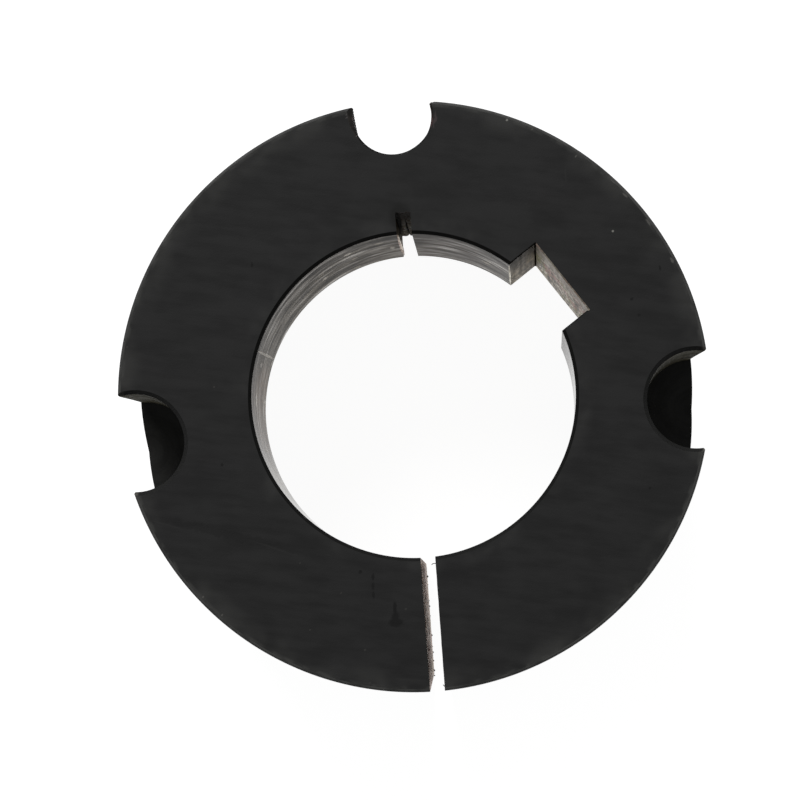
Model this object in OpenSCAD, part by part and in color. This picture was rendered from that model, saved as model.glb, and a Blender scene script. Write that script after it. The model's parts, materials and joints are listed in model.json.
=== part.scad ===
// Taper bush: a split, tapered clamping bush for a keyed shaft.
// It is one piece of cast iron, turned to a taper, bored, broached, drilled and sawn.
// The origin lies on the bore axis in the small end's face.
// +Z runs along the bore to the large end, and +X runs through the middle of the keyway.

/* [Tapered body] */
// Diameter at the large end, before its edge is broken
large_d = 70; // [68:0.5:74]
// Length from the small end's face to the large end's face
body_l = 31.8; // [28:0.1:38]
// Taper on each side, in degrees
taper = 4; // [2:0.5:6]
// Edge break round the outside of both ends
rim_break = 0.4; // [0.2:0.1:1]

/* [Bore and keyway] */
// Diameter of the shaft that the bush grips
shaft_d = 38; // [24:1:40]
// How much wider than its shaft the bore is before the screws close it
bore_clearance = 0.3; // [0:0.05:0.5]
// Chamfer at both ends of the bore
bore_chamfer = 0.4; // [0.2:0.1:1]
// Width of the keyway
key_w = 10; // [6:1:12]
// Depth of the keyway's floor beyond the bore's wall
key_depth = 3.3; // [2:0.1:3.8]
// Edge break round both ends of the keyway
key_break = 0.15; // [0.05:0.05:0.6]

/* [Screw half holes] */
// Diameter of the circle that the three half holes lie on
screw_circle_d = 66.7; // [65.5:0.1:68]
// Angle of the tapped jacking half hole from the keyway, in degrees
jack_angle = 55.7; // [48:0.1:64]
// Angle of each plain half hole from the jacking half hole, in degrees
clamp_angle = 95.2; // [90:0.2:100]
// Diameter of the two plain half holes, which take the clamping screws
clamp_hole_d = 11.6; // [8:0.1:12.4]
// Depth of the plain half holes at their full diameter
clamp_hole_l = 18.9; // [12:0.1:22]
// Point angle of the drill that ends the plain half holes, in degrees
drill_point = 118; // [90:2:140]
// Diameter of the jacking half hole inside its thread
jack_hole_d = 9.3; // [7:0.1:11]
// Countersink at the mouths of the plain half holes
clamp_chamfer = 0.45; // [0.2:0.05:0.8]
// Countersink at both mouths of the jacking half hole
jack_chamfer = 0.25; // [0.1:0.05:0.8]

/* [Saw cuts] */
// Width of the split that goes right through the wall
split_w = 1.75; // [1:0.05:3]
// Width of the relief slit opposite the split
slit_w = 1.8; // [1:0.05:3]
// Depth of the relief slit beyond the bore's wall
slit_depth = 2.6; // [1.5:0.1:4]
// Angle of the saw cuts' plane, clockwise from the jacking half hole as seen from the large end
saw_turn = 0.25; // [-1:0.05:1]
// How far that plane lies clockwise of the axis
saw_shift = 0.3; // [-0.5:0.05:0.5]

/* [Hidden] */
// How far a cut runs past the face that it leaves by
past = 1;
// Steps round a full circle
$fn = 180;
large_r = large_d / 2;
bore_r = (shaft_d + bore_clearance) / 2;
small_r = large_r - body_l * tan(taper);
screw_r = screw_circle_d / 2;
clamp_hole_r = clamp_hole_d / 2;
jack_hole_r = jack_hole_d / 2;
key_floor_r = bore_r + key_depth;
slit_end_r = bore_r + slit_depth;
drill_tip_l = clamp_hole_r / tan(drill_point / 2);

// The turned blank, with the edge of each end broken
module tapered_blank() {
    break_step = rim_break * tan(taper);
    rotate_extrude()
        polygon([
            [0, 0],
            [small_r + break_step - rim_break, 0],
            [small_r + break_step, rim_break],
            [large_r - break_step, body_l - rim_break],
            [large_r - break_step - rim_break, body_l],
            [0, body_l]
        ]);
}

// A round hole's chamfer at the level z, widening up (side 1) or down (side -1)
module mouth_chamfer(hole_r, chamfer, z, side) {
    translate([0, 0, z])
        mirror([0, 0, side < 0 ? 1 : 0])
            translate([0, 0, -chamfer])
                cylinder(h = chamfer + past, r1 = hole_r, r2 = hole_r + chamfer + past);
}

// The shaft bore with a chamfer at both ends
module shaft_bore() {
    translate([0, 0, -past])
        cylinder(h = body_l + 2 * past, r = bore_r);
    mouth_chamfer(bore_r, bore_chamfer, body_l, 1);
    mouth_chamfer(bore_r, bore_chamfer, 0, -1);
}

// The keyway's outline, seen along the bore and grown by a margin
module keyway_outline(margin) {
    translate([0, -key_w / 2 - margin])
        square([key_floor_r + margin, key_w + 2 * margin]);
}

// The wedge that breaks the keyway's edges at one end
module keyway_mouth(z, side) {
    translate([0, 0, z])
        mirror([0, 0, side < 0 ? 1 : 0])
            hull() {
                translate([0, 0, -key_break])
                    linear_extrude(height = key_break / 100)
                        keyway_outline(0);
                linear_extrude(height = past)
                    keyway_outline(key_break);
            }
}

// The keyway, cut along the whole bore
module keyway() {
    translate([0, 0, -past])
        linear_extrude(height = body_l + 2 * past)
            keyway_outline(0);
    keyway_mouth(body_l, 1);
    keyway_mouth(0, -1);
}

// A plain blind half hole, drilled from the large end
module clamp_hole() {
    translate([0, 0, body_l - clamp_hole_l])
        cylinder(h = clamp_hole_l + past, r = clamp_hole_r);
    translate([0, 0, body_l - clamp_hole_l - drill_tip_l])
        cylinder(h = drill_tip_l, r1 = 0, r2 = clamp_hole_r);
    mouth_chamfer(clamp_hole_r, clamp_chamfer, body_l, 1);
}

// The jacking half hole at its size inside the thread, right through the bush
module jack_hole() {
    translate([0, 0, -past])
        cylinder(h = body_l + 2 * past, r = jack_hole_r);
    mouth_chamfer(jack_hole_r, jack_chamfer, body_l, 1);
    mouth_chamfer(jack_hole_r, jack_chamfer, 0, -1);
}

// The three half holes on their circle
module half_holes() {
    rotate([0, 0, jack_angle])
        translate([screw_r, 0, 0])
            jack_hole();
    for (side = [-1, 1])
        rotate([0, 0, jack_angle + side * clamp_angle])
            translate([screw_r, 0, 0])
                clamp_hole();
}

// A saw cut from the axis out to a radius, along the whole bush
module saw_cut(width, out_r) {
    translate([0, -width / 2 - saw_shift, -past])
        cube([out_r, width, body_l + 2 * past]);
}

// The relief slit under the jacking half hole, and the split opposite it
module saw_cuts() {
    rotate([0, 0, jack_angle - saw_turn]) {
        saw_cut(slit_w, slit_end_r);
        mirror([1, 0, 0])
            saw_cut(split_w, large_r + past);
    }
}

module taper_bush() {
    color("#2a2a2a")
        difference() {
            tapered_blank();
            shaft_bore();
            keyway();
            half_holes();
            saw_cuts();
        }
}

taper_bush();
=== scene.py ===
"""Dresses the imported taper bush: its machined detail, its iron finishes, and a plain studio.

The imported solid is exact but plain. Here the same ring is made once more in the order of the workshop: a
turned blank is bored, broached, drilled, tapped and sawn, and each cut leaves its own finish on the walls
that it makes. The meshes are modelled in millimetres, and the finished one is put into metres.
"""

import json
import logging
import math
from collections.abc import Sequence
from dataclasses import dataclass, field, replace
from enum import Enum

import bmesh
import bpy
from mathutils import Matrix, Vector, noise

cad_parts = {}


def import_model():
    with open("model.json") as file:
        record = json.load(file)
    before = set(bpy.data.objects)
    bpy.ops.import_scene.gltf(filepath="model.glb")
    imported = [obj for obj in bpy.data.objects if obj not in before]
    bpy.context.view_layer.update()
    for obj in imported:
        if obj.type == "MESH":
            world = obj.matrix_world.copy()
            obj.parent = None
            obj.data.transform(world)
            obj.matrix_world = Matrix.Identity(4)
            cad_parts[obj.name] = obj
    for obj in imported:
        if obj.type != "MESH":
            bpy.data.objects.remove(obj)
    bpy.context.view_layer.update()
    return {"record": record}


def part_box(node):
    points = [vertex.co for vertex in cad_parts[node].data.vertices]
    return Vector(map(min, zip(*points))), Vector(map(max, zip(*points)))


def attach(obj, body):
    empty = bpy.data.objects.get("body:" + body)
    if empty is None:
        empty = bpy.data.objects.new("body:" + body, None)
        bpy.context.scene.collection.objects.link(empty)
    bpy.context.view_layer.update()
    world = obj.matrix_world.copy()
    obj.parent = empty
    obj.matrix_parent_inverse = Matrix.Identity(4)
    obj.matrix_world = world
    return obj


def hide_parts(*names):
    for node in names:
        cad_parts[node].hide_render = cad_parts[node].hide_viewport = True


log = logging.getLogger("taper_bush")

NODE = "taper_bush"
MM = 0.001
PAST = 1.0  # how far a cut runs past the face that it leaves by, in millimetres
SAME = 1e-5  # corners closer than this are one, in millimetres
NEAR = 1e-4  # a corner closer than this to a plane lies on it, in millimetres
HOLLOW = 1.0  # an edge closer than this to the axis is cut away later, in millimetres
UP = Vector((0.0, 0.0, 1.0))
PICTURE_ROLL = math.radians(38.7)  # how far the bush is turned about its axis in the picture
FACE_Z = 31.8  # height of the large end's face, in millimetres
BORE_R = 19.15  # radius of the bore's wall, in millimetres
CLOUD_LOW, CLOUD_HIGH = 0.3, 0.7  # nearly all of a cloud's values lie between these
MARK_GONE, MARK_FULL = 1.3, 0.6  # where a mark is gone and full, as shares of its half lengths
FACE_DEEP, BORE_DEEP = 1.0, 0.5  # half of a mark's depth in the face and in the bore's wall, in millimetres
RAG_SIZE = 0.5  # length of the wobbles along a mark's edge, in millimetres

# Names of a Mix node's colour sockets, which it holds only by number
MIX_FIRST, MIX_SECOND, MIX_RESULT = 6, 7, 2


def srgb(code: str) -> tuple[float, float, float, float]:
    """Turns a written colour into linear light.

    Args:
        code: An sRGB colour such as "#8d877e".

    Returns:
        Red, green, blue and alpha, linear.
    """
    parts = [int(code[i : i + 2], 16) / 255 for i in (1, 3, 5)]
    linear = [p / 12.92 if p <= 0.04045 else ((p + 0.055) / 1.055) ** 2.4 for p in parts]
    return (*linear, 1.0)


def add(
    tree: bpy.types.NodeTree, kind: str, inputs: dict[str | int, object] | None = None, **settings: object
) -> bpy.types.Node:
    """Adds a node with its settings and links.

    Args:
        tree: The node tree that takes it.
        kind: The node's type, such as ShaderNodeTexNoise.
        inputs: For an input's name or number, its value, its written colour or the output that feeds it.
        settings: Values of the node's own properties.

    Returns:
        The new node.
    """
    node = tree.nodes.new(kind)
    for name, value in settings.items():
        setattr(node, name, value)
    for name, value in (inputs or {}).items():
        if isinstance(value, bpy.types.NodeSocket):
            tree.links.new(value, node.inputs[name])
        else:
            node.inputs[name].default_value = srgb(value) if isinstance(value, str) else value
    return node


@dataclass(frozen=True)
class Cloud:
    """A cloudy pattern in the bush's own space, with patches of a real size in millimetres.

    It is turned about the bush's axis and tilted about its own X axis, both in degrees, and the seed moves
    it, so that two alike patterns differ.
    """

    size: tuple[float, float, float]
    seed: float = 0.0
    detail: float = 2.0
    turn: float = 0.0
    tilt: float = 0.0

    def value(self, tree: bpy.types.NodeTree) -> bpy.types.NodeSocket:
        """Adds the pattern to a material.

        Args:
            tree: The material's node tree.

        Returns:
            A value of about 0.5 in the middle.
        """
        place = add(tree, "ShaderNodeTexCoord")
        laid = add(
            tree,
            "ShaderNodeMapping",
            {
                "Vector": place.outputs["Object"],
                "Location": (self.seed, -self.seed, 0.5 * self.seed),
                "Rotation": (math.radians(self.tilt), 0.0, math.radians(self.turn)),
                "Scale": tuple(MM * side for side in self.size),
            },
            vector_type="TEXTURE",
        )
        cloud = add(
            tree,
            "ShaderNodeTexNoise",
            {"Vector": laid.outputs["Vector"], "Scale": 1.0, "Detail": self.detail, "Roughness": 0.55},
        )
        return cloud.outputs["Fac"]


@dataclass(frozen=True)
class Layer:
    """Another colour over part of a finish, with the share of it that shows at most."""

    colour: str
    most: float = field(default=1.0, kw_only=True)

    def measure(self, tree: bpy.types.NodeTree) -> tuple[bpy.types.NodeSocket, float, float]:
        """Adds the value that the layer goes by.

        Args:
            tree: The material's node tree.

        Returns:
            The value's socket, and the values at which the layer is gone and full.
        """
        raise NotImplementedError

    def cover(self, tree: bpy.types.NodeTree) -> bpy.types.NodeSocket:
        """Adds how much of the layer shows.

        Args:
            tree: The material's node tree.

        Returns:
            A value from 0 to 1.
        """
        value, gone, full = self.measure(tree)
        shown = add(
            tree,
            "ShaderNodeMapRange",
            {"Value": value, "From Min": gone, "From Max": full, "To Max": self.most},
            interpolation_type="SMOOTHSTEP",
        )
        return shown.outputs["Result"]


@dataclass(frozen=True)
class Spots(Layer):
    """Spots scattered over the surface, where a cloud is above a level."""

    cloud: Cloud
    level: float = 0.65
    soft: float = 0.05

    def measure(self, tree: bpy.types.NodeTree) -> tuple[bpy.types.NodeSocket, float, float]:
        """Adds the cloud, and says from which level on it is a spot."""
        return self.cloud.value(tree), self.level, self.level + self.soft


@dataclass(frozen=True)
class Fade(Layer):
    """A layer that is full at one height along the bush's axis and gone at another, both in millimetres."""

    full: float
    gone: float

    def measure(self, tree: bpy.types.NodeTree) -> tuple[bpy.types.NodeSocket, float, float]:
        """Adds the height along the axis.

        Args:
            tree: The material's node tree.

        Returns:
            The height's socket, and the heights at which the layer is gone and full.
        """
        place = add(tree, "ShaderNodeTexCoord")
        height = add(tree, "ShaderNodeSeparateXYZ", {"Vector": place.outputs["Object"]})
        return height.outputs["Z"], MM * self.gone, MM * self.full


@dataclass(frozen=True)
class Ring(Layer):
    """A ragged ring about the bush's axis, with its radius and half its width in millimetres."""

    radius: float
    width: float
    cloud: Cloud
    level: float = 0.5
    soft: float = 0.15

    def measure(self, tree: bpy.types.NodeTree) -> tuple[bpy.types.NodeSocket, float, float]:
        """Adds how far a point lies inside or outside the ring.

        Args:
            tree: The material's node tree.

        Returns:
            The distance's socket, and the distances at which the ring is gone and full.
        """
        place = add(tree, "ShaderNodeTexCoord")
        across = {0: place.outputs["Object"], 1: (1, 1, 0)}
        flat = add(tree, "ShaderNodeVectorMath", across, operation="MULTIPLY")
        reach = add(tree, "ShaderNodeVectorMath", {0: flat.outputs["Vector"]}, operation="LENGTH")
        radii = {0: reach.outputs["Value"], 1: MM * self.radius}
        off = add(tree, "ShaderNodeMath", radii, operation="SUBTRACT")
        away = add(tree, "ShaderNodeMath", {0: off.outputs["Value"]}, operation="ABSOLUTE")
        return away.outputs["Value"], MM * self.width, 0.0

    def cover(self, tree: bpy.types.NodeTree) -> bpy.types.NodeSocket:
        """Adds how much of the ring shows, torn into patches by its cloud.

        Args:
            tree: The material's node tree.

        Returns:
            A value from 0 to 1.
        """
        patches = Spots(self.colour, self.cloud, self.level, self.soft).cover(tree)
        both = add(tree, "ShaderNodeMath", {0: super().cover(tree), 1: patches}, operation="MULTIPLY")
        return both.outputs["Value"]


@dataclass(frozen=True)
class Mark:
    """One stain, speck, scratch, painted glint or patch of painted light or shade: its middle and half its
    lengths in millimetres.

    It is turned about the bush's axis and tilted about its own X axis, both in degrees.
    """

    at: tuple[float, float, float]
    half: tuple[float, float, float]
    turn: float = 0.0
    tilt: float = 0.0


def on_face(*rows: tuple[float, ...]) -> tuple[Mark, ...]:
    """Places marks on the large end's face.

    Args:
        rows: For each mark its x and y, half its length and half its width in millimetres, and its turn in
            degrees where it has one.

    Returns:
        The marks.
    """
    return tuple(Mark((x, y, FACE_Z), (long, wide, FACE_DEEP), *turn) for x, y, long, wide, *turn in rows)


def on_bore(*rows: tuple[float, float, float, float]) -> tuple[Mark, ...]:
    """Places marks on the bore's wall.

    Args:
        rows: For each mark its angle from the keyway in degrees, and in millimetres its height above the
            small end, half its length round the bore and half its length along it.

    Returns:
        The marks.
    """
    marks = []
    for angle, height, around, along in rows:
        place = Vector((BORE_R, 0.0, height))
        place.rotate(Matrix.Rotation(math.radians(angle), 3, "Z"))
        marks.append(Mark(tuple(place), (around, BORE_DEEP, along), turn=angle + 90.0))
    return tuple(marks)


@dataclass(frozen=True)
class Marks(Layer):
    """Single marks, each with a slightly ragged edge: stains and scratches that the real bush has picked
    up, and painted glints, light and shade.
    """

    marks: tuple[Mark, ...]
    rag: float = 0.12

    def measure(self, tree: bpy.types.NodeTree) -> tuple[bpy.types.NodeSocket, float, float]:
        """Adds how far a point lies from the nearest mark's middle, as a share of the mark's half lengths.

        Args:
            tree: The material's node tree.

        Returns:
            The distance's socket, and the distances at which a mark is gone and full.
        """
        place = add(tree, "ShaderNodeTexCoord")
        wobbles = {"Vector": place.outputs["Object"], "Scale": 1 / (RAG_SIZE * MM), "Detail": 1.0}
        shaken = add(tree, "ShaderNodeTexNoise", wobbles)
        middle = {0: shaken.outputs["Color"], 1: (0.5,) * 3}
        centred = add(tree, "ShaderNodeVectorMath", middle, operation="SUBTRACT")
        moved = {0: centred.outputs["Vector"], 1: (2 * MM * self.rag,) * 3, 2: place.outputs["Object"]}
        ragged = add(tree, "ShaderNodeVectorMath", moved, operation="MULTIPLY_ADD")
        nearest = None
        for mark in self.marks:
            laid = add(
                tree,
                "ShaderNodeMapping",
                {
                    "Vector": ragged.outputs["Vector"],
                    "Location": tuple(MM * side for side in mark.at),
                    "Rotation": (math.radians(mark.tilt), 0.0, math.radians(mark.turn)),
                    "Scale": tuple(MM * side for side in mark.half),
                },
                vector_type="TEXTURE",
            )
            away = add(tree, "ShaderNodeVectorMath", {0: laid.outputs["Vector"]}, operation="LENGTH")
            distance = away.outputs["Value"]
            if nearest:
                least = add(tree, "ShaderNodeMath", {0: nearest, 1: distance}, operation="MINIMUM")
                distance = least.outputs["Value"]
            nearest = distance
        return nearest, MARK_GONE, MARK_FULL


@dataclass(frozen=True)
class Finish:
    """A procedural finish on iron.

    It varies between two colours with its mottling and its tool's marks, and has layers over them.
    """

    name: str
    dark: str
    light: str
    mottle: Cloud
    lay: Cloud
    grain: Cloud = Cloud((0.15, 0.15, 0.15), seed=0.05)
    contrast: float = 0.5
    metallic: float = 0.0
    roughness: tuple[float, float] = (0.5, 0.65)
    specular: float = 0.2
    tint: str = "#ffffff"
    glaze: float = 0.0
    glaze_ior: float = 1.01
    glaze_roughness: float = 0.1
    lay_depth: float = 0.01
    grain_depth: float = 0.01
    layers: tuple[Layer, ...] = ()

    def colour(
        self, tree: bpy.types.NodeTree, clouds: bpy.types.NodeSocket, strokes: bpy.types.NodeSocket
    ) -> bpy.types.NodeSocket:
        """Mixes the finish's colour from its mottling, its tool's marks and its layers.

        Args:
            tree: The material's node tree.
            clouds: The broad mottling.
            strokes: The tool's marks.

        Returns:
            The colour's socket.
        """
        both = add(tree, "ShaderNodeMath", {0: clouds, 1: strokes}, operation="ADD")
        low, high = 1 - self.contrast, 1 + self.contrast
        span = {"Value": both.outputs["Value"], "From Min": low, "From Max": high}
        amount = add(tree, "ShaderNodeMapRange", span, interpolation_type="SMOOTHSTEP")
        shades = {0: amount.outputs["Result"], MIX_FIRST: self.dark, MIX_SECOND: self.light}
        shade = add(tree, "ShaderNodeMix", shades, data_type="RGBA")
        for layer in self.layers:
            shades = {0: layer.cover(tree), MIX_FIRST: shade.outputs[MIX_RESULT], MIX_SECOND: layer.colour}
            shade = add(tree, "ShaderNodeMix", shades, data_type="RGBA")
        return shade.outputs[MIX_RESULT]

    def material(self) -> bpy.types.Material:
        """Makes the finish's material, once.

        Returns:
            The material with the finish's name.
        """
        made = bpy.data.materials.get(self.name)
        if made:
            return made
        made = bpy.data.materials.new(self.name)
        made.use_nodes = True
        tree = made.node_tree
        tree.nodes.clear()
        strokes = self.lay.value(tree)
        rough = add(
            tree,
            "ShaderNodeMapRange",
            {
                "Value": strokes,
                "From Min": CLOUD_LOW,
                "From Max": CLOUD_HIGH,
                "To Min": self.roughness[0],
                "To Max": self.roughness[1],
            },
        )
        scores = {"Height": strokes, "Strength": 1.0, "Distance": MM * self.lay_depth}
        scored = add(tree, "ShaderNodeBump", scores)
        grained = add(
            tree,
            "ShaderNodeBump",
            {
                "Height": self.grain.value(tree),
                "Strength": 1.0,
                "Distance": MM * self.grain_depth,
                "Normal": scored.outputs["Normal"],
            },
        )
        skin = add(
            tree,
            "ShaderNodeBsdfPrincipled",
            {
                "Base Color": self.colour(tree, self.mottle.value(tree), strokes),
                "Metallic": self.metallic,
                "Roughness": rough.outputs["Result"],
                "Specular IOR Level": self.specular,
                "Specular Tint": self.tint,
                "Coat Weight": self.glaze,
                "Coat IOR": self.glaze_ior,
                "Coat Roughness": self.glaze_roughness,
                "Normal": grained.outputs["Normal"],
            },
        )
        add(tree, "ShaderNodeOutputMaterial", {"Surface": skin.outputs["BSDF"]})
        return made


# The face is ground flat and then phosphated: a black, dull coat over straight faint lines, worn grey at
# the rim. The grinding lines are some hundredths of a millimetre wide, so they are drawn as coarse as they
# need to show.
FACE = Finish(
    "phosphated_face",
    "#161616",
    "#1e1e1e",
    mottle=Cloud((4.5, 3.0, 3.0), detail=5.0, turn=-45.7),
    lay=Cloud((6.0, 1.2, 1.2), seed=0.02, detail=3.0, turn=-45.7),
    grain=Cloud((0.2, 0.2, 0.2), seed=0.05),
    contrast=0.3,
    layers=(
        Ring("#3a3a38", 34.6, 3.0, Cloud((5.0, 5.0, 5.0), seed=0.11), level=0.4, soft=0.3, most=0.42),
        Ring("#3e3e3c", 34.5, 0.35, Cloud((1.8, 1.8, 1.8), seed=0.12), level=0.42, soft=0.25, most=0.5),
        Ring("#30302f", 20.0, 1.8, Cloud((4.0, 4.0, 4.0), seed=0.13), level=0.42, soft=0.3, most=0.45),
        Marks("#101010", on_face((-27.2, 0.7, 8.9, 0.5, -52.6)), rag=0.6, most=0.5),
        Marks("#43393a", on_face((22.4, 23.9, 1.0, 0.15, 43.0)), rag=0.3, most=0.5),
        Marks("#5b5756", on_face((14.9, 30.75, 0.4, 0.2)), rag=0.6, most=0.4),
        # Painted shade: a black patch on the face round the mouth of the slit
        Marks("#0b0b0a", on_face((12.1, 17.6, 1.5, 1.25, 55.5)), rag=0.2, most=0.8),
        Marks(
            "#0b0b0b",
            on_face(
                (-17.92, -12.31, 0.22, 0.2), (-17.09, -13.72, 0.45, 0.17, -128.0),
                (-17.76, -14.55, 0.45, 0.2, -126.0), (-18.37, -15.41, 0.5, 0.17, -124.0),
                (-17.45, -18.3, 0.95, 0.22, -127.0), (-18.0, -19.1, 0.7, 0.45, -127.0),
                (-18.34, -19.6, 0.55, 0.85, -127.0), (-22.74, 7.74, 0.16, 0.16),
                (27.23, -7.26, 0.24, 0.14), (26.69, -9.25, 0.18, 0.18), (32.1, -6.48, 0.3, 0.16, 60.0),
                (14.89, -25.96, 0.2, 0.14), (-5.21, 24.02, 0.35, 0.14, -120.0),
            ),
        ),
        Marks(
            "#2e2d2b",
            on_face(
                (-17.73, 15.54, 0.12, 0.12), (-22.8, 25.7, 0.15, 0.1), (-26.78, -13.95, 0.14, 0.08),
                (-21.21, -12.84, 0.14, 0.08), (-22.78, -7.05, 0.12, 0.08), (-16.42, -19.09, 0.14, 0.1),
                (-23.2, -19.84, 0.14, 0.1), (-25.16, -23.23, 0.14, 0.1),
            ),
            rag=0.05,
        ),
        Marks("#6f6e69", on_face((30.53, 0.41, 0.14, 0.13), (29.04, 18.53, 0.15, 0.13)), rag=0.05),
        Marks(
            "#4c4b48",
            on_face(
                (30.67, 15.84, 0.14, 0.1), (32.71, 10.08, 0.14, 0.1), (34.27, 4.86, 0.5, 0.12, 98.0),
                (34.31, 2.84, 0.4, 0.12, 95.0), (34.4, -1.42, 0.45, 0.14, 88.0),
                (33.8, -6.63, 0.4, 0.12, 79.0), (-34.2, -3.02, 0.14, 0.1), (-33.77, -6.08, 0.14, 0.1),
            ),
            most=0.8,
        ),
        Marks(
            "#252524",
            on_face(
                (30.37, 9.14, 0.9, 0.1, -124.8), (-32.54, 6.74, 2.8, 0.12, -54.8),
                (-24.02, -3.87, 3.1, 0.12, -57.5), (-21.18, -25.97, 1.65, 0.12, -42.7),
            ),
            rag=0.05,
            most=0.35,
        ),
    ),
)
# The taper is turned and then phosphated, so its faint lines run round, and its rims are rubbed grey
COAT = Finish(
    "phosphated_turned",
    "#151515",
    "#202020",
    mottle=Cloud((3.0, 3.0, 3.0), detail=4.0),
    lay=Cloud((14.0, 14.0, 0.35), seed=0.02, detail=3.0),
    contrast=0.35,
    layers=(
        Fade("#4a4a48", full=31.8, gone=31.2, most=0.55),
        Fade("#3a3a38", full=0.0, gone=0.8, most=0.5),
        Spots("#191919", Cloud((2.2, 2.2, 2.2), seed=0.11), level=0.42, soft=0.3, most=0.7),
    ),
)
# The chamfers are blacker than the face. Only the tips that reach the rim are rubbed pale.
CHAMFER = Finish(
    "phosphated_chamfer",
    "#0a0a0a",
    "#141413",
    mottle=Cloud((1.5, 1.5, 1.5), detail=4.0),
    lay=Cloud((8.0, 8.0, 0.3), seed=0.02),
    roughness=(0.55, 0.7),
    specular=0.12,
    grain_depth=0.03,
    layers=(
        Ring("#6a6863", 35.3, 1.2, Cloud((1.0, 1.0, 1.0), seed=0.18), level=0.35, soft=0.2, most=0.9),
        Marks("#583f3e", on_face((22.2, 23.9, 1.1, 0.3, 43.0)), rag=0.3, most=0.7),
    ),
)
# The half holes are drilled and then phosphated. Their coat is thin and greenish near the rim, and further
# in from the rim they are painted near black, as painted shade deep in the hole.
DRILLED = Finish(
    "phosphated_drilled",
    "#2a281f",
    "#514d3b",
    mottle=Cloud((3.0, 3.0, 2.5), detail=5.0),
    lay=Cloud((6.0, 6.0, 0.9), seed=0.02, detail=3.0),
    grain=Cloud((0.5, 0.5, 0.5), seed=0.05),
    contrast=0.25,
    roughness=(0.85, 0.5),
    specular=0.06,
    tint="#fff0d0",
    grain_depth=0.03,
    layers=(
        Spots("#6e6a54", Cloud((2.5, 2.5, 1.0), seed=0.19, detail=3.0), level=0.54, soft=0.2, most=0.55),
        # Painted shade: near black further in from the rim, deep in the hole
        Ring("#0d0d0c", 26.5, 8.0, Cloud((4.0, 4.0, 4.0), seed=0.17), level=0.2, soft=0.1, most=0.95),
    ),
)
# The drill point's cone lies deep in the hole, dark and dull
DRILL_POINT = Finish(
    "phosphated_drill_point",
    "#232322",
    "#2b2b2a",
    mottle=Cloud((2.5, 2.5, 2.5), detail=4.0),
    lay=Cloud((6.0, 6.0, 0.4), seed=0.02),
    contrast=0.3,
    roughness=(0.85, 0.95),
    specular=0.03,
    lay_depth=0.002,
    layers=(Spots("#444340", Cloud((0.4, 0.4, 0.4), seed=0.19, detail=1.0), level=0.78),),
)
# The bore is cut after the coat, so it is bare grey cast iron, streaked round by the boring tool and
# browned on one side. A pale patch on another side is a painted reflection, a darker patch on the side that
# faces away from the lamp is painted shade, and the wall is painted darker towards the large end as shade.
# Seen almost along its wall, fine-bored iron mirrors what lies beyond it, the more so the lower the view: a
# glaze of very low index stands in for that. The pits and streaks are some hundredths of a millimetre wide,
# so they are drawn as coarse as they need to show; the white streaks and pale patches on the wall are
# painted glints.
BORED = Finish(
    "bored_iron",
    "#3f382b",
    "#6e6552",
    mottle=Cloud((6.0, 6.0, 3.0), detail=5.0),
    lay=Cloud((6.0, 6.0, 2.2), seed=0.02, detail=5.0),
    grain=Cloud((0.5, 0.5, 0.8), seed=0.05),
    contrast=0.22,
    metallic=0.22,
    roughness=(0.98, 0.22),
    specular=0.06,
    tint="#b39c78",
    glaze=1.0,
    glaze_ior=1.0068,
    glaze_roughness=0.04,
    grain_depth=0.03,
    layers=(
        Marks("#8c6b42", (Mark((-15.7, 11.0, 14.0), (3.0, 6.0, 22.0), turn=145.0),), rag=2.5, most=0.7),
        # Painted reflection: a pale patch on the side of the wall that mirrors the bright floor
        Marks("#b8ad97", (Mark((-19.0, 0.6, 12.0), (3.0, 5.5, 24.0), turn=178.0),), rag=2.5, most=0.7),
        Spots("#3a352c", Cloud((6.0, 6.0, 1.5), seed=0.23, detail=4.0), level=0.54, soft=0.2, most=0.6),
        Spots("#857e6e", Cloud((7.0, 7.0, 1.1), seed=0.25, detail=4.0), level=0.55, soft=0.2, most=0.6),
        # Painted shade: a darker patch on the side of the wall that faces away from the lamp
        Marks("#463728", (Mark((14.7, 12.3, 14.0), (3.0, 6.5, 24.0), turn=40.0),), rag=2.5, most=0.6),
        # Painted shade: darker towards the large end
        Fade("#28241d", full=34.0, gone=16.0, most=0.7),
        # Painted glints: white streaks and flecks along the wall
        Marks(
            "#fffaf0",
            (
                Mark((-10.62, 15.93, 16.2), (0.3, 0.15, 15.5), turn=123.7, tilt=-2.0),
                *on_bore(
                    (123.8, 2.0, 0.4, 1.2), (60.2, 15.0, 0.3, 1.5), (76.2, 24.0, 0.5, 1.2),
                    (141.2, 21.0, 0.8, 1.2), (128.1, 19.8, 0.3, 1.3), (87.4, 11.8, 0.35, 1.2),
                    (139.0, 2.6, 0.35, 1.2),
                ),
            ),
            rag=0.1,
        ),
        # Painted glints: pale patches on the wall
        Marks(
            "#cfc6b4",
            on_bore(
                (64.4, 24.3, 0.5, 0.7), (73.4, 23.2, 0.6, 0.5), (74.6, 15.3, 0.4, 0.7),
                (88.0, 18.0, 0.5, 0.8), (95.0, 11.0, 1.6, 0.5), (105.0, 12.6, 1.6, 0.5),
                (74.8, 3.4, 0.5, 0.9), (138.1, 8.8, 0.3, 1.1), (158.5, 14.0, 0.5, 1.6),
                (25.2, 13.4, 0.6, 1.0), (24.0, 17.0, 0.3, 0.9),
            ),
            rag=0.3,
            most=0.85,
        ),
    ),
)
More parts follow.
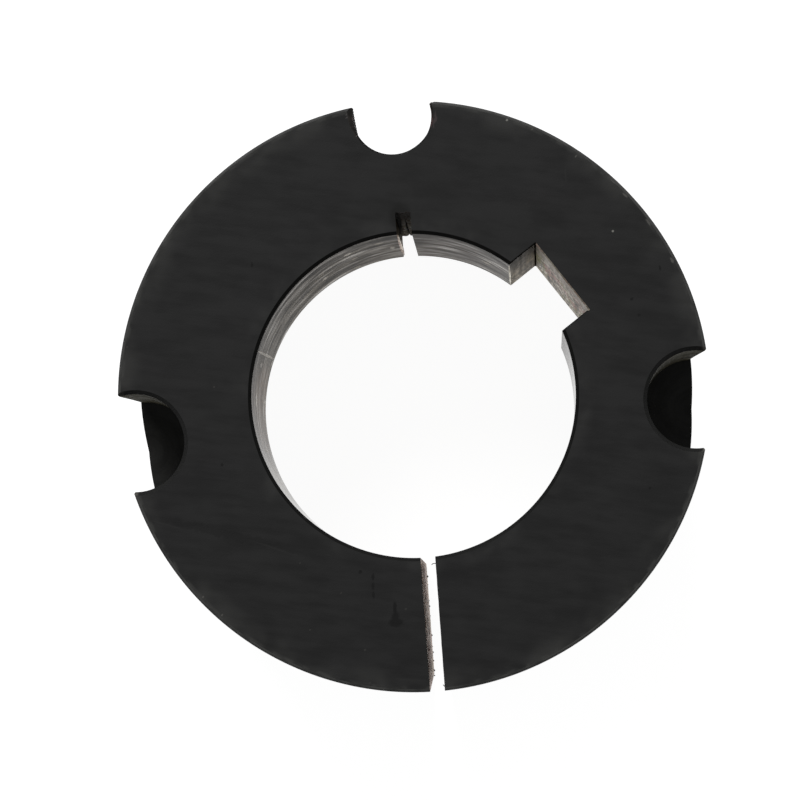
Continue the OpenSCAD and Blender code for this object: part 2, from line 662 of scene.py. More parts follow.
# The broach drags along the keyway: bare iron in streaks along the bore, stained pink and olive, and pitted
# further down
BROACHED = Finish(
    "broached_iron",
    "#6f665b",
    "#e2d8c8",
    mottle=Cloud((1.8, 1.8, 6.0), detail=5.0),
    lay=Cloud((0.6, 0.6, 14.0), seed=0.02, detail=3.0),
    grain=Cloud((0.4, 0.4, 1.2), seed=0.05),
    contrast=0.22,
    metallic=0.4,
    roughness=(0.5, 0.36),
    specular=0.5,
    tint="#c4bcb2",
    grain_depth=0.03,
    layers=(
        Spots("#8a8c42", Cloud((3.0, 3.0, 9.0), seed=0.31, detail=3.0), level=0.49, soft=0.1, most=0.85),
        Spots("#b0706c", Cloud((3.0, 3.0, 9.0), seed=0.33, detail=3.0), level=0.5, soft=0.1, most=0.85),
        Spots("#1b1612", Cloud((0.6, 0.6, 2.8), seed=0.37, detail=2.0), level=0.54, soft=0.05, most=0.95),
        Spots("#fff6ea", Cloud((0.6, 0.6, 2.8), seed=0.39, detail=2.0), level=0.57, soft=0.05, most=0.95),
        Fade("#8f887c", full=30.0, gone=16.0, most=0.8),
    ),
)
# The keyway's sides are broached too, and are darker near the face
BROACHED_SIDE = replace(
    BROACHED,
    name="broached_side_iron",
    dark="#5f5545",
    light="#c4b69d",
    roughness=(0.56, 0.42),
    specular=0.4,
    tint="#a59e94",
    layers=(
        Spots("#2a241c", Cloud((0.4, 0.4, 2.4), seed=0.37, detail=2.0), level=0.57, soft=0.06, most=0.7),
        Spots("#e0d2b9", Cloud((0.4, 0.4, 2.4), seed=0.39, detail=2.0), level=0.58, soft=0.06, most=0.7),
        Fade("#1a170f", full=32.0, gone=12.0, most=0.95),
    ),
)
# One corner of the keyway is painted black, paler further down
CORNER = Finish(
    "dirty_corner",
    "#080706",
    "#17140f",
    mottle=Cloud((1.0, 1.0, 3.0)),
    lay=Cloud((0.5, 0.5, 6.0), seed=0.02),
    roughness=(0.8, 0.9),
    specular=0.0,
    layers=(Fade("#6b6153", full=0.0, gone=16.0, most=0.8),),
)
# The saw tears the iron, so the split's walls are rougher and browner than the bore, with slanting marks
# and pits. They are seen nearly along the bore, so their pits are drawn long to show at all.
SAWN = Finish(
    "sawn_iron",
    "#5a483d",
    "#dcc6b4",
    mottle=Cloud((1.4, 1.4, 9.0), detail=5.0),
    lay=Cloud((0.7, 0.7, 5.0), seed=0.02, detail=3.0, tilt=28.0),
    grain=Cloud((0.3, 0.3, 5.0), seed=0.05, detail=3.0),
    contrast=0.22,
    metallic=0.75,
    roughness=(0.46, 0.18),
    specular=0.5,
    tint="#d8c8bb",
    lay_depth=0.03,
    grain_depth=0.12,
    layers=(
        Spots("#ab8189", Cloud((3.0, 3.0, 14.0), seed=0.42, detail=3.0), level=0.5, soft=0.1, most=0.8),
        Spots("#8c8450", Cloud((3.0, 3.0, 14.0), seed=0.46, detail=3.0), level=0.52, soft=0.1, most=0.7),
        Spots("#1d1511", Cloud((0.55, 0.55, 8.0), seed=0.41, detail=2.0), level=0.52, soft=0.06, most=0.95),
        Spots("#f5e8da", Cloud((0.55, 0.55, 8.0), seed=0.44, detail=2.0), level=0.6, soft=0.06, most=0.9),
        # Painted shade: the walls are dark just below the face
        Fade("#1d1815", full=31.2, gone=29.0, most=0.9),
    ),
)
# The relief slit is sawn too: it is painted dark towards the face as painted shade, and pale and mottled
# where it opens into the bore as painted light
SLIT = Finish(
    "sawn_slit_iron",
    "#2b251f",
    "#6b6053",
    mottle=Cloud((0.9, 0.9, 3.0), detail=5.0),
    lay=Cloud((0.5, 0.5, 5.0), seed=0.02, detail=3.0, tilt=28.0),
    grain=Cloud((0.4, 0.4, 1.0), seed=0.05),
    contrast=0.2,
    metallic=0.3,
    roughness=(0.6, 0.45),
    specular=0.3,
    tint="#b3a99b",
    lay_depth=0.03,
    grain_depth=0.04,
    layers=(
        # Painted shade: dark towards the face
        Fade("#3a322c", full=32.0, gone=21.0, most=0.97),
        # Painted light: pale where the slit opens into the bore
        Marks("#f0e4cf", (Mark((10.36, 16.1, 3.0), (2.0, 1.0, 26.0), turn=55.45),), rag=0.5, most=0.95),
        Spots("#2b241c", Cloud((0.5, 0.5, 4.0), seed=0.45, detail=3.0), level=0.52, soft=0.06, most=0.8),
    ),
)
# The end of the slit is torn, with light torn grains; painted shade makes it dark towards the face and
# black along its corner with one wall
TORN = Finish(
    "torn_iron",
    "#8f8578",
    "#fffaf0",
    mottle=Cloud((0.4, 0.4, 1.6), detail=4.0),
    lay=Cloud((0.35, 0.35, 1.2), seed=0.02),
    contrast=0.2,
    roughness=(0.7, 0.85),
    specular=0.03,
    lay_depth=0.06,
    layers=(
        Spots("#ffffff", Cloud((0.28, 0.28, 1.3), seed=0.43, detail=2.0), level=0.52, soft=0.05, most=0.95),
        # Painted shade: dark towards the face
        Fade("#2e2829", full=27.0, gone=7.0, most=0.88),
        # Painted shade: black along the end's corner with one wall
        Marks("#060505", (Mark((12.66, 17.81, 11.5), (0.6, 0.1, 11.0), turn=55.45),), rag=0.06),
        # Painted shade: darker over the upper part of the end
        Marks("#1a1715", (Mark((11.84, 18.25, 24.0), (0.8, 0.45, 20.0), turn=55.45),), rag=0.05),
    ),
)
# A burr along an edge is rubbed bright by the shaft
RUBBED = Finish(
    "rubbed_iron",
    "#8f897c",
    "#f4f0e6",
    mottle=Cloud((0.4, 0.4, 3.0)),
    lay=Cloud((0.4, 0.4, 4.0), seed=0.02),
    metallic=0.8,
    roughness=(0.45, 0.16),
    specular=0.5,
    tint="#e6e1d6",
)
# The tap cuts through the coat, and the thread holds a little rust and bright torn crests
TAPPED = Finish(
    "tapped_iron",
    "#151413",
    "#282523",
    mottle=Cloud((0.8, 0.8, 0.8), detail=4.0),
    lay=Cloud((4.0, 4.0, 0.3), seed=0.02),
    contrast=0.3,
    roughness=(0.5, 0.66),
    specular=0.12,
    layers=(
        Spots("#40312f", Cloud((0.5, 0.5, 0.5), seed=0.47, detail=2.0), level=0.6, soft=0.08, most=0.7),
        Spots("#77706f", Cloud((0.3, 0.3, 0.3), seed=0.53, detail=1.0), level=0.69, soft=0.08, most=0.7),
    ),
)


def spun(outline: Sequence[tuple[float, float]], steps: int) -> bmesh.types.BMesh:
    """Turns an outline round the Z axis into a closed body.

    Args:
        outline: Points of radius and height, from the axis back to the axis.
        steps: How many steps make the full turn.

    Returns:
        The turned body.
    """
    body = bmesh.new()
    points = [body.verts.new((r, 0.0, z)) for r, z in outline]
    lines = [body.edges.new(pair) for pair in zip(points, points[1:])]
    bmesh.ops.spin(
        body,
        geom=points + lines,
        cent=(0, 0, 0),
        axis=UP,
        angle=math.tau,
        steps=steps,
        use_merge=True,
        use_duplicate=False,
    )
    bmesh.ops.remove_doubles(body, verts=body.verts, dist=SAME)
    bmesh.ops.recalc_face_normals(body, faces=body.faces)
    return body


def placed(name: str, data: bpy.types.ID) -> bpy.types.Object:
    """Adds an object to the scene.

    Args:
        name: The object's name.
        data: Its mesh, lamp or camera.

    Returns:
        The object.
    """
    made = bpy.data.objects.new(name, data)
    bpy.context.scene.collection.objects.link(made)
    return made


def block(middle: Vector, size: Sequence[float], turn: Matrix | None = None) -> bmesh.types.BMesh:
    """Makes a block.

    Args:
        middle: The block's middle in millimetres.
        size: Its three lengths in millimetres.
        turn: How it is turned about its middle, if at all.

    Returns:
        The block.
    """
    shape = bmesh.new()
    place = Matrix.Translation(middle) @ (turn or Matrix.Identity(4)) @ Matrix.Diagonal((*size, 1))
    bmesh.ops.create_cube(shape, size=1.0, matrix=place)
    return shape


def round_edges(shape: bmesh.types.BMesh, edges: list[bmesh.types.BMEdge], size: float) -> None:
    """Rounds some edges of a shape.

    Args:
        shape: The shape.
        edges: The edges to round.
        size: How far the rounding runs along the faces, in millimetres.
    """
    bmesh.ops.bevel(
        shape,
        geom=edges,
        offset=size,
        offset_type="OFFSET",
        affect="EDGES",
        segments=3,
        profile=0.5,
        material=-1,
        clamp_overlap=True,
    )


def settle(shape: bmesh.types.BMesh) -> None:
    """Sorts a shape's parts by place, because the cuts hand them over in another order in each run.

    Args:
        shape: The shape.
    """
    for parts, place in (
        (shape.verts, lambda vert: vert.co.zxy.to_tuple(5)),
        (shape.edges, lambda edge: sorted(vert.index for vert in edge.verts)),
        (shape.faces, lambda face: sorted(vert.index for vert in face.verts)),
    ):
        ranks = {part: rank for rank, part in enumerate(sorted(parts, key=place))}
        parts.sort(key=ranks.get)
        parts.index_update()


class Operation(Enum):
    """What a tool does to the blank."""

    TAKE = "DIFFERENCE"
    LEAVE = "UNION"


@dataclass
class Cut:
    """A tool's swept shape and the finishes that it leaves."""

    operation: Operation = field(default=Operation.TAKE, init=False)

    def shape(self) -> bmesh.types.BMesh:
        """Models the tool's swept shape in millimetres.

        Returns:
            The shape.
        """
        raise NotImplementedError

    def finish_at(self, point: Vector) -> Finish:
        """Says which finish the tool leaves at a point of its shape."""
        raise NotImplementedError

    def tool(self) -> bpy.types.Object:
        """Makes the tool's object, with each face in its finish.

        Returns:
            An object that a Boolean modifier can use.
        """
        shape = self.shape()
        finishes: list[Finish] = []
        for face in shape.faces:
            finish = self.finish_at(face.calc_center_median())
            if finish not in finishes:
                finishes.append(finish)
            face.material_index = finishes.index(finish)
        mesh = bpy.data.meshes.new("tool")
        shape.to_mesh(mesh)
        shape.free()
        for finish in finishes:
            mesh.materials.append(finish.material())
        return placed("tool", mesh)

    def apply(self, body: bpy.types.Object) -> None:
        """Cuts the body with the tool, or leaves the tool's iron on it.

        Args:
            body: The bush so far.
        """
        tool = self.tool()
        cutting = body.modifiers.new("cut", "BOOLEAN")
        cutting.operation = self.operation.value
        cutting.solver = "EXACT"
        cutting.material_mode = "TRANSFER"
        cutting.object = tool
        graph = bpy.context.evaluated_depsgraph_get()
        before = body.data
        body.data = bpy.data.meshes.new_from_object(body.evaluated_get(graph))
        body.modifiers.clear()
        bpy.data.meshes.remove(before)
        bpy.data.meshes.remove(tool.data)


@dataclass
class TurnedBlank(Cut):
    """The tapered blank as it leaves the lathe, with the edge of each end broken."""

    length: float
    rim_r: float
    taper: float = math.radians(4.0)
    rim_break: float = 0.4
    steps: int = 256

    def radius_at(self, height: float) -> float:
        """The taper's radius at a height."""
        return self.rim_r - (self.length - height) * math.tan(self.taper)

    def shape(self) -> bmesh.types.BMesh:
        """Models the blank in millimetres.

        Returns:
            The blank, solid to the axis.
        """
        outline = [(0, 0), (self.radius_at(0), 0), (self.rim_r, self.length), (0, self.length)]
        blank = spun(outline, self.steps)
        rims = [
            edge
            for edge in blank.edges
            if edge.verts[0].co.z == edge.verts[1].co.z
            and min(v.co.xy.length for v in edge.verts) > HOLLOW
        ]
        round_edges(blank, rims, self.rim_break)
        return blank

    def finish_at(self, point: Vector) -> Finish:
        """The ends are ground, and the taper is turned."""
        return FACE if min(point.z, self.length - point.z) < NEAR else COAT


@dataclass
class ShaftBore(Cut):
    """The bore for the shaft, chamfered at both ends."""

    length: float
    radius: float
    chamfer: float = 0.4
    steps: int = 192

    def shape(self) -> bmesh.types.BMesh:
        """Models the boring tool's sweep in millimetres.

        Returns:
            The sweep, past both ends.
        """
        top, wide = self.length + PAST, self.radius + self.chamfer + PAST
        wall = [(self.radius, self.chamfer), (self.radius, self.length - self.chamfer)]
        return spun([(0, -PAST), (wide, -PAST), *wall, (wide, top), (0, top)], self.steps)

    def finish_at(self, point: Vector) -> Finish:
        """The wall is bare, and the chamfers keep the coat."""
        return BORED if self.chamfer < point.z < self.length - self.chamfer else CHAMFER


@dataclass
class Keyway(Cut):
    """The broached keyway, with a broken edge at both ends and small fillets along its floor."""

    length: float
    floor_r: float
    width: float = 10.0
    edge_break: float = 0.15
    fillet: float = 0.15

    def shape(self) -> bmesh.types.BMesh:
        """Models the broach's sweep in millimetres.

        Returns:
            The sweep, from the axis to the keyway's floor.
        """
        middle = Vector((self.floor_r / 2, 0, self.length / 2))
        broach = block(middle, (self.floor_r, self.width, self.length - 2 * self.edge_break))
        corners = [
            edge
            for edge in broach.edges
            if edge.verts[0].co.z != edge.verts[1].co.z and min(v.co.x for v in edge.verts) > HOLLOW
        ]
        round_edges(broach, corners, self.fillet)
        grown = (self.floor_r + self.edge_break) / self.floor_r, 1 + 2 * self.edge_break / self.width, 1.0
        broach.normal_update()
        for side in (-1, 1):
            end = max(broach.faces, key=lambda f: side * f.normal.z)
            for rise, growth in ((self.edge_break, grown), (PAST, (1.0, 1.0, 1.0))):
                end = bmesh.ops.extrude_discrete_faces(broach, faces=[end])["faces"][0]
                bmesh.ops.translate(broach, verts=end.verts, vec=(0, 0, side * rise))
                bmesh.ops.scale(broach, verts=end.verts, vec=growth)
        bmesh.ops.recalc_face_normals(broach, faces=broach.faces)
        return broach

    def finish_at(self, point: Vector) -> Finish:
        """The floor is bare up to its edges, the sides are darker near the face, and one corner is painted
        black.

        Args:
            point: A place on the sweep, in millimetres.

        Returns:
            The finish there.
        """
        if point.x > self.floor_r - self.fillet:
            return CORNER if point.y > self.width / 2 - self.fillet else BROACHED
        return CHAMFER if min(point.z, self.length - point.z) < self.edge_break else BROACHED_SIDE


@dataclass
class HalfHole(Cut):
    """A half hole on the taper, blind with a drill point or right through."""

    length: float
    centre: Vector
    radius: float
    chamfer: float
    wall: Finish
    depth: float | None = None
    point_angle: float = math.radians(118.0)
    steps: int = 72

    def shape(self) -> bmesh.types.BMesh:
        """Models the drill's sweep in millimetres.

        Returns:
            The sweep, past the ends that it opens.
        """
        wide, top = self.radius + self.chamfer + PAST, self.length + PAST
        outline = [(self.radius, self.length - self.chamfer), (wide, top), (0, top)]
        if self.depth is None:
            outline = [(0, -PAST), (wide, -PAST), (self.radius, self.chamfer), *outline]
        else:
            floor = self.length - self.depth
            tip = floor - self.radius / math.tan(self.point_angle / 2)
            outline = [(0, tip), (self.radius, floor), *outline]
        drill = spun(outline, self.steps)
        bmesh.ops.translate(drill, verts=drill.verts, vec=(self.centre.x, self.centre.y, 0))
        return drill

    def finish_at(self, point: Vector) -> Finish:
        """The mouths keep their coat, and the walls are as the drill or the tap leaves them.

        Args:
            point: A place on the sweep, in millimetres.

        Returns:
            The finish there.
        """
        if min(point.z, self.length - point.z) < self.chamfer:
            return CHAMFER
        return DRILL_POINT if self.depth and point.z < self.length - self.depth else self.wall


@dataclass
class Thread(Cut):
    """The thread tapped in the jacking half hole, a groove with flanks of 55 degrees.

    The groove runs out through the large end's face on its outer side, at the angle leaves_at.
    """

    length: float
    centre: Vector
    radius: float
    root_r: float = 11.113 / 2
    pitch: float = 25.4 / 14
    flank: float = math.radians(27.5)
    root_round: float = 0.137
    root_steps: int = 4
    inside: float = 0.1
    leaves_at: float = math.radians(81.0)
    steps: int = 60

    def shape(self) -> bmesh.types.BMesh:
        """Models the tap's helical groove in millimetres.

        Returns:
            The groove, past both ends.
        """
        round_r = self.root_round * self.pitch
        half_turn = math.pi - 2 * self.flank
        angles = [
            self.flank - math.pi / 2 + half_turn * step / self.root_steps
            for step in range(self.root_steps + 1)
        ]
        middle = self.root_r - round_r
        root = [(middle + round_r * math.cos(a), round_r * math.sin(a)) for a in angles]
        inner = self.radius - self.inside
        mouth = root[-1][1] + (root[-1][0] - inner) * math.tan(self.flank)
        groove = bmesh.new()
        outline = [(inner, -mouth), *root, (inner, mouth)]
        face = groove.faces.new([groove.verts.new((r, 0, z - self.pitch)) for r, z in outline])
        count = round((self.length / self.pitch + 2) * self.steps)
        bmesh.ops.spin(
            groove,
            geom=[face, *face.edges, *face.verts],
            cent=(0, 0, 0),
            axis=UP,
            angle=math.tau * count / self.steps,
            dvec=(0, 0, self.pitch / self.steps),
            steps=count,
            use_merge=False,
            use_duplicate=False,
        )
        bmesh.ops.recalc_face_normals(groove, faces=groove.faces)
        start = self.leaves_at - math.tau * self.length / self.pitch
        bmesh.ops.rotate(groove, verts=groove.verts, cent=(0, 0, 0), matrix=Matrix.Rotation(start, 3, "Z"))
        bmesh.ops.translate(groove, verts=groove.verts, vec=(self.centre.x, self.centre.y, 0))
        return groove

    def finish_at(self, point: Vector) -> Finish:
        """The thread is dark with a little rust."""
        return TAPPED


@dataclass
class SawCut(Cut):
    """A saw cut from the axis outwards, with torn walls, and with a torn and cracked end if it is blind.

    The tears are noise of so many waves to a millimetre. On the walls it slants, and is stretched along the
    bore. The crack wanders to and fro along the end, and fades in from crack_top downwards.
    """

    length: float
    angle: float
    width: float
    reach: float
    shift: float
    wall: Finish
    blind: bool = False
    cell: float = 0.5
    end_cell: float = 0.15
    tear: float = 0.02
    tear_waves: float = 1.6
    tear_slant: float = 0.6
    tear_stretch: float = 6.0
    end_tear: float = 0.12
    end_waves: float = 2.2
    end_skin: float = 0.25
    crack_depth: float = 0.22
    crack_w: float = 0.07
    crack_at: float = 0.02
    crack_sway: float = 0.08
    crack_bend: float = 4.0
    crack_top: float = 24.0
    crack_fade: float = 8.0

    def shape(self) -> bmesh.types.BMesh:
        """Models the saw's sweep in millimetres.

        Returns:
            The sweep, from the axis outwards.
        """
        middle = Vector((self.reach / 2, self.shift, self.length / 2))
        saw = block(middle, (self.reach, self.width, self.length + 2 * PAST))
        across = self.end_cell if self.blind else self.width
        for axis, cell in ((2, self.cell), (0, self.cell), (1, across)):
            along = [e for e in saw.edges if abs(e.verts[0].co[axis] - e.verts[1].co[axis]) > NEAR]
            cuts = round(along[0].calc_length() / cell) - 1
            if cuts > 0:
                bmesh.ops.subdivide_edges(saw, edges=along, cuts=cuts, use_grid_fill=True)
        bmesh.ops.recalc_face_normals(saw, faces=saw.faces)
        for vert in saw.verts:
            x, y, z = vert.co
            if abs(abs(y - self.shift) - self.width / 2) < NEAR:
                slanted = Vector((x + self.tear_slant * z, z / self.tear_stretch, y))
                vert.co.y += self.tear * noise.noise(self.tear_waves * slanted)
            elif self.blind and x > self.reach - NEAR:
                vert.co.x += self.end_tear * noise.noise(self.end_waves * vert.co)
                sway = self.crack_at + self.crack_sway * noise.noise(Vector((0, 0, z / self.crack_bend)))
                depth = self.crack_depth * min(1.0, max(0.0, (self.crack_top - z) / self.crack_fade))
                vert.co.x += depth * math.exp(-(((y - self.shift - sway) / self.crack_w) ** 2))
        bmesh.ops.rotate(saw, verts=saw.verts, cent=(0, 0, 0), matrix=Matrix.Rotation(self.angle, 3, "Z"))
        return saw

    def finish_at(self, point: Vector) -> Finish:
        """The walls are sawn, and a blind end is torn."""
        return TORN if self.blind and point.xy.length > self.reach - self.end_skin else self.wall


@dataclass
class CornerBreak(Cut):
    """One stroke of a file along a sharp corner, which runs straight from foot to top."""

    foot: Vector
    top: Vector
    out: Vector
    depth: float = 0.2
    size: float = 1.2

    def shape(self) -> bmesh.types.BMesh:
        """Models the file's sweep in millimetres.

        Returns:
            The sweep.
        """
        up = self.top - self.foot
        side = up.cross(self.out).normalized()
        out = side.cross(up).normalized()
        turn = Matrix((out, side, up.normalized())).transposed().to_4x4()
        middle = self.foot + up / 2 + (self.size / 2 - self.depth) * out
        return block(middle, (self.size, self.size, up.length), turn)

    def finish_at(self, point: Vector) -> Finish:
        """The broken corner is coated like the taper."""
        return COAT


@dataclass
class Burr(Cut):
    """A lump of iron that a tool left standing on an edge."""

    centre: Vector
    half: Vector
    finish: Finish

    def __post_init__(self) -> None:
        """A burr is left on the bush, not taken away."""
        self.operation = Operation.LEAVE

    def shape(self) -> bmesh.types.BMesh:
        """Models the lump in millimetres.

        Returns:
            The lump.
        """
        lump = bmesh.new()
        place = Matrix.Translation(self.centre) @ Matrix.Diagonal((*self.half, 1))
        bmesh.ops.create_icosphere(lump, subdivisions=2, radius=1.0, matrix=place)
        return lump

    def finish_at(self, point: Vector) -> Finish:
        """A burr has one finish all over."""
        return self.finish


@dataclass
class Bush:
    """The whole bush, one ring of iron.

    The lumps, the curl and the fleck that the saw left in the split are placed along it from the axis,
    beside its middle and below the face; the curl is a row of beads at angles in degrees. The burrs at the
    slit are placed outwards from the bore's wall and beside the slit's wall. A half is half a piece's size.
    """

    length: float
    rim_r: float
    bore_r: float
    key_floor_r: float
    clamp_holes: list[tuple[Vector, float, float]]
    jack_hole: tuple[Vector, float]
    clamp_chamfer: float = 0.45
    jack_chamfer: float = 0.25
    split_w: float = 1.75
    slit_w: float = 1.8
    slit_depth: float = 2.6
    saw_turn: float = math.radians(0.25)
    saw_shift: float = 0.3
    lumps: tuple[tuple[float, float], ...] = (
        (20.7, 0.14), (21.7, 0.06), (23.7, 0.07), (24.4, 0.11), (25.6, 0.07), (28.0, 0.13),
        (29.4, 0.07), (30.1, 0.12), (31.15, 0.1), (32.35, 0.13), (33.0, 0.08),
    )
    lump_z: float = 0.22
    lump_half_z: float = 0.2
    curl: tuple[float, float, float] = (20.32, 0.7, 0.3)
    curl_r: float = 0.4
    curl_beads: tuple[float, ...] = tuple(40.0 - 8.5 * step for step in range(11))
    curl_half: tuple[float, float, float] = (0.05, 0.05, 0.06)
    fleck: tuple[float, float, float] = (34.35, 0.8, 0.6)
    fleck_half: tuple[float, float, float] = (0.05, 0.2, 0.06)
    key_burr: float = 0.12
    burr_end: float = 0.6
    lip: tuple[float, float] = (0.12, -0.06)
    lip_half: tuple[float, float] = (0.24, 0.2)
    line: tuple[float, float] = (-0.04, -0.16)
    line_down: float = 12.0
    line_half: tuple[float, float, float] = (0.07, 0.07, 10.5)
    merge: float = 0.012
    sharp: float = math.radians(30.0)

    @classmethod
    def from_frame(cls, record: dict) -> "Bush":
        """Reads the bush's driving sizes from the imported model.

        Args:
            record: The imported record.

        Returns:
            The bush with its sizes in millimetres.
        """
        mounts = {m["name"]: m for m in record["mounts"]}
        low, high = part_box(NODE)
        blank = TurnedBlank(0.0, 0.0)
        centres = {name: Vector(m["pos_m"]) / MM for name, m in mounts.items()}
        clamps = [mounts[name] for name in ("clamp_screw_hole_a", "clamp_screw_hole_b")]
        return cls(
            length=(high.z - low.z) / MM,
            rim_r=-low.x / MM + blank.rim_break * math.tan(blank.taper),
            bore_r=mounts["bore"]["dims"]["r_mm"],
            key_floor_r=centres["keyway"].x,
            clamp_holes=[(centres[m["name"]], m["dims"]["r_mm"], m["dims"]["length_mm"]) for m in clamps],
            jack_hole=(centres["jack_screw_hole"], mounts["jack_screw_hole"]["dims"]["r_mm"]),
        )

    def corner_breaks(self, centre: Vector, radius: float, low: float) -> list[CornerBreak]:
        """Places the file's strokes on the two corners between a half hole and the taper.

        Args:
            centre: The half hole's middle.
            radius: The half hole's radius.
            low: The height from which the strokes run up past the large end.

        Returns:
            The two strokes.
        """
        blank = TurnedBlank(self.length, self.rim_r)
        out_r = centre.xy.length
        strokes = []
        for side in (-1, 1):
            ends = []
            for height in (low, self.length + PAST):
                rim = blank.radius_at(height)
                swing = side * math.acos((rim**2 + out_r**2 - radius**2) / (2 * rim * out_r))
                turn = Matrix.Rotation(math.atan2(centre.y, centre.x) + swing, 3, "Z")
                ends.append(turn @ Vector((rim, 0, height)))
            foot, top = ends
            out = foot.xy.normalized() + (centre.xy - foot.xy) / radius
            strokes.append(CornerBreak(foot, top, Vector((*out, 0)).normalized()))
        return strokes

    def split_burrs(self, saw_angle: float) -> list[Burr]:
        """Places what the saw left in the split: lumps along its edge at the small end, a curl and a fleck.

        Args:
            saw_angle: The split's direction from the axis.

        Returns:
            The burrs.
        """
        turn = Matrix.Rotation(saw_angle, 3, "Z")
        shift, edge = self.saw_shift, self.saw_shift - self.split_w / 2
        burrs = [
            Burr(turn @ Vector((along, edge, self.lump_z)), Vector((size, size, self.lump_half_z)), CHAMFER)
            for along, size in self.lumps
        ]
        along, beside, below = self.curl
        for angle in map(math.radians, self.curl_beads):
            out = along - self.curl_r * math.cos(angle)
            over = shift + beside + self.curl_r * math.sin(angle)
            bead = turn @ Vector((out, over, self.length - below))
            burrs.append(Burr(bead, Vector(self.curl_half), CHAMFER))
        along, beside, below = self.fleck
        fleck = turn @ Vector((along, shift + beside, self.length - below))
        return [*burrs, Burr(fleck, Vector(self.fleck_half), CHAMFER)]

    def edge_burrs(self, saw_angle: float) -> list[Burr]:
        """Places the rubbed burrs along the bore's edges at the keyway and at the slit.

        Args:
            saw_angle: The slit's direction from the axis.

        Returns:
            The burrs.
        """
        middle, tall = self.length / 2, self.length / 2 - self.burr_end
        side = Keyway(self.length, self.key_floor_r).width / 2
        key_edge = Vector((math.sqrt(self.bore_r**2 - side**2), side, middle))
        turn = Matrix.Rotation(saw_angle, 3, "Z")
        out, over = self.bore_r, self.slit_w / 2 - self.saw_shift
        lip = turn @ Vector((out + self.lip[0], over + self.lip[1], middle))
        line = turn @ Vector((out + self.line[0], over + self.line[1], self.length - self.line_down))
        return [
            Burr(key_edge, Vector((self.key_burr, self.key_burr, tall)), RUBBED),
            Burr(lip, Vector((*self.lip_half, tall)), SAWN),
            Burr(line, Vector(self.line_half), RUBBED),
        ]

    def cuts(self) -> list[Cut]:
        """Lists the tools in the order in which they are used.

        Returns:
            The cuts, each with its sizes.
        """
        jack_centre, jack_r = self.jack_hole
        saw_angle = math.atan2(jack_centre.y, jack_centre.x) - self.saw_turn
        slit_reach = self.bore_r + self.slit_depth
        split_reach = self.rim_r + PAST
        clamps = [
            HalfHole(self.length, centre, radius, self.clamp_chamfer, DRILLED, depth)
            for centre, radius, depth in self.clamp_holes
        ]
        return [
            ShaftBore(self.length, self.bore_r),
            Keyway(self.length, self.key_floor_r),
            *clamps,
            HalfHole(self.length, jack_centre, jack_r, self.jack_chamfer, TAPPED),
            Thread(self.length, jack_centre, jack_r),
            *self.corner_breaks(jack_centre, jack_r, -PAST),
            *(
                stroke
                for centre, radius, depth in self.clamp_holes
                for stroke in self.corner_breaks(centre, radius, self.length - depth)
            ),
            SawCut(self.length, saw_angle, self.slit_w, slit_reach, -self.saw_shift, SLIT, blind=True),
            SawCut(self.length, saw_angle + math.pi, self.split_w, split_reach, self.saw_shift, SAWN),
            *self.split_burrs(saw_angle + math.pi),
            *self.edge_burrs(saw_angle),
        ]

    def build(self) -> bpy.types.Object:
        """Makes the bush from its blank and its cuts.

        Returns:
            The finished piece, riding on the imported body.
        """
        bush = TurnedBlank(self.length, self.rim_r).tool()
        bush.name = bush.data.name = "taper_bush_iron"
        for cut in self.cuts():
            cut.apply(bush)
            log.info("%s: %d faces", type(cut).__name__, len(bush.data.polygons))
        self.clean(bush.data)
        bush.data.transform(Matrix.Scale(MM, 4))
        bush.data.shade_smooth()
        bush.data.set_sharp_from_angle(angle=self.sharp)
        bush.modifiers.new("normals", "WEIGHTED_NORMAL").keep_sharp = True
        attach(bush, "root")
        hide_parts(NODE)
        return bush

    def clean(self, mesh: bpy.types.Mesh) -> None:
        """Merges the slivers that the cuts leave where they cross.

        Args:
            mesh: The bush's mesh in millimetres.
        """
        shape = bmesh.new()
        shape.from_mesh(mesh)
        settle(shape)
        bmesh.ops.remove_doubles(shape, verts=shape.verts, dist=self.merge)
        bmesh.ops.dissolve_degenerate(shape, dist=self.merge / 2, edges=shape.edges)
        shape.to_mesh(mesh)
        shape.free()


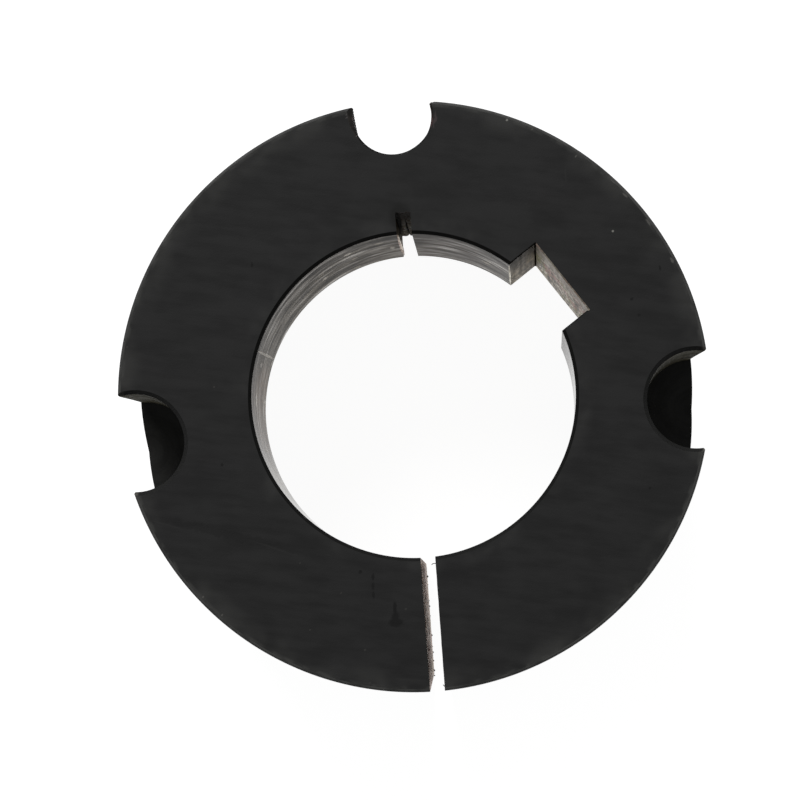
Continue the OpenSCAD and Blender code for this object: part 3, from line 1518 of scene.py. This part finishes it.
@dataclass
class Studio:
    """A plain pale floor, soft light from above, and the camera that looks down on the bush."""

    floor_side: float = 6.0
    floor_glow: float = 0.94
    floor_grey: float = 0.22
    sky: float = 0.36
    lamp_watts: float = 16.0
    lamp_size: float = 0.8
    lamp_place: Vector = field(default_factory=lambda: Vector((-0.3, 0.95, 0.78)))
    camera_place: Vector = field(default_factory=lambda: Vector((15.21, -33.73, 629.2)) * MM)
    camera_aim: Vector = field(default_factory=lambda: Vector((-1.58, -0.53, 31.8)) * MM)
    lens: float = 228.3

    def in_picture(self, point: Vector) -> Vector:
        """Turns a place given along the picture's right and up into the bush's own space."""
        return Matrix.Rotation(-PICTURE_ROLL, 3, "Z") @ point

    def floor(self) -> None:
        """Lays the floor, white to the camera and in reflections, with the bush's soft shadow on it."""
        sheet = bmesh.new()
        bmesh.ops.create_grid(sheet, x_segments=1, y_segments=1, size=self.floor_side / 2)
        mesh = bpy.data.meshes.new("floor")
        sheet.to_mesh(mesh)
        sheet.free()
        floor = placed("floor", mesh)
        paint = bpy.data.materials.new("studio_floor")
        paint.use_nodes = True
        tree = paint.node_tree
        tree.nodes.clear()
        path = add(tree, "ShaderNodeLightPath")
        seen = path.outputs["Is Camera Ray"]
        for ray in ("Is Glossy Ray", "Is Transmission Ray"):
            rays = {0: seen, 1: path.outputs[ray]}
            either = add(tree, "ShaderNodeMath", rays, operation="ADD", use_clamp=True)
            seen = either.outputs["Value"]
        glow = add(tree, "ShaderNodeMath", {0: seen, 1: self.floor_glow}, operation="MULTIPLY")
        shine = add(tree, "ShaderNodeEmission", {"Color": "#ffffff", "Strength": glow.outputs["Value"]})
        matt = add(tree, "ShaderNodeBsdfDiffuse", {"Color": (*(self.floor_grey,) * 3, 1.0)})
        both = add(tree, "ShaderNodeAddShader", {0: matt.outputs["BSDF"], 1: shine.outputs["Emission"]})
        add(tree, "ShaderNodeOutputMaterial", {"Surface": both.outputs["Shader"]})
        mesh.materials.append(paint)

    def light(self) -> None:
        """Hangs one wide lamp beyond the picture's top, under an even grey sky."""
        world = bpy.data.worlds.new("studio")
        world.use_nodes = True
        world.node_tree.nodes["Background"].inputs["Color"].default_value = (1, 1, 1, 1)
        world.node_tree.nodes["Background"].inputs["Strength"].default_value = self.sky
        bpy.context.scene.world = world
        lamp = bpy.data.lights.new("key", "AREA")
        lamp.shape = "DISK"
        lamp.size = self.lamp_size
        lamp.energy = self.lamp_watts
        key = placed("key", lamp)
        key.location = self.in_picture(self.lamp_place)
        key.rotation_euler = (-key.location).to_track_quat("-Z", "Y").to_euler()

    def camera(self) -> None:
        """Sets the camera where the photograph was taken from."""
        data = bpy.data.cameras.new("camera")
        data.sensor_width = 36.0
        data.lens = self.lens
        data.clip_start = 0.01
        camera = placed("camera", data)
        back = self.in_picture(self.camera_place - self.camera_aim).normalized()
        right = self.in_picture(Vector((0, 1, 0))).cross(back).normalized()
        up = back.cross(right)
        turn = Matrix((right, up, back)).transposed().to_4x4()
        camera.matrix_world = Matrix.Translation(self.in_picture(self.camera_place)) @ turn
        bpy.context.scene.camera = camera


def main() -> None:
    """Builds the bush and its studio in order."""
    logging.basicConfig(level=logging.INFO, format="%(message)s")
    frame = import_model()
    bush = Bush.from_frame(frame["record"]).build()
    log.info("%s: %d faces", bush.name, len(bush.data.polygons))
    studio = Studio()
    studio.floor()
    studio.light()
    studio.camera()
    bpy.context.scene.view_settings.view_transform = "Standard"


if __name__ == "__main__":
    main()
